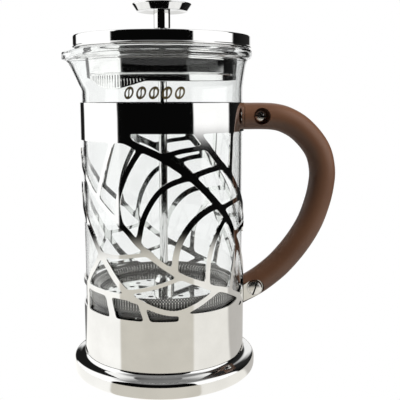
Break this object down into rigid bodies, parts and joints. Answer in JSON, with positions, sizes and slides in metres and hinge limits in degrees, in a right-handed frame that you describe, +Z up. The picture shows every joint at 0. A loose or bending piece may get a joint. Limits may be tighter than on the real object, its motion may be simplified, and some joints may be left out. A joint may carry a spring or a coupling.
{
  "type": "french press",
  "caption": "Coffee plunger with a cut-out steel frame, D handle, spouted glass beaker, strainer lid and a rod with a spring-edged filter.",
  "frame": {"origin": "centre of the underside of the base, on the table", "axes": "+Z up along the beaker and plunger rod, +X towards the handle, -X towards the spout, handle and spout in the XZ plane"},
  "size_m": [0.1666, 0.1126, 0.2234],
  "materials": {
    "mirror_steel": "mirror polished stainless steel",
    "satin_steel": "plain stainless steel",
    "steel_mesh": "woven stainless wire mesh",
    "clear_glass": "clear borosilicate",
    "soft_touch_brown": "matte soft touch",
    "black_plastic": "moulded",
    "silicone": "matt translucent"
  },
  "bodies": {
    "frame": {"frame_sleeve": "mirror_steel", "base_ring": "mirror_steel", "base_insert": "black_plastic", "base_cushion": "silicone", "upper_bracket": "satin_steel", "lower_bracket": "satin_steel", "handle_grip": "soft_touch_brown", "upper_handle_screw": "mirror_steel", "lower_handle_screw": "mirror_steel"},
    "beaker": {"glass_beaker": "clear_glass"},
    "lid": {"lid_cover": "mirror_steel", "rod_guide": "satin_steel"},
    "strainer": {"lid_strainer": "mirror_steel"},
    "plunger": {"knob_dish": "mirror_steel", "knob_neck": "mirror_steel", "plunger_rod": "mirror_steel"},
    "filter": {"filter_hub": "satin_steel", "filter_top_plate": "mirror_steel", "filter_spring": "satin_steel", "filter_mesh": "steel_mesh", "filter_bottom_plate": "satin_steel", "filter_nut": "satin_steel"}
  },
  "joints": [
    {"name": "beaker_lift", "type": "slide", "parent": "frame", "child": "beaker", "axis": [0, 0, 1], "range_m": [0, 0.2]},
    {"name": "lid_lift", "type": "slide", "parent": "beaker", "child": "lid", "axis": [0, 0, 1], "range_m": [0, 0.17]},
    {"name": "strainer_turn", "type": "hinge", "parent": "lid", "child": "strainer", "pos_m": [0, 0, 0.19], "axis": [0, 0, 1], "continuous": true},
    {"name": "plunger_press", "type": "slide", "parent": "lid", "child": "plunger", "axis": [0, 0, 1], "range_m": [0, 0.112]},
    {"name": "filter_unscrew", "type": "hinge", "parent": "plunger", "child": "filter", "pos_m": [0, 0, 0.05], "axis": [0, 0, 1], "continuous": true}
  ]
}
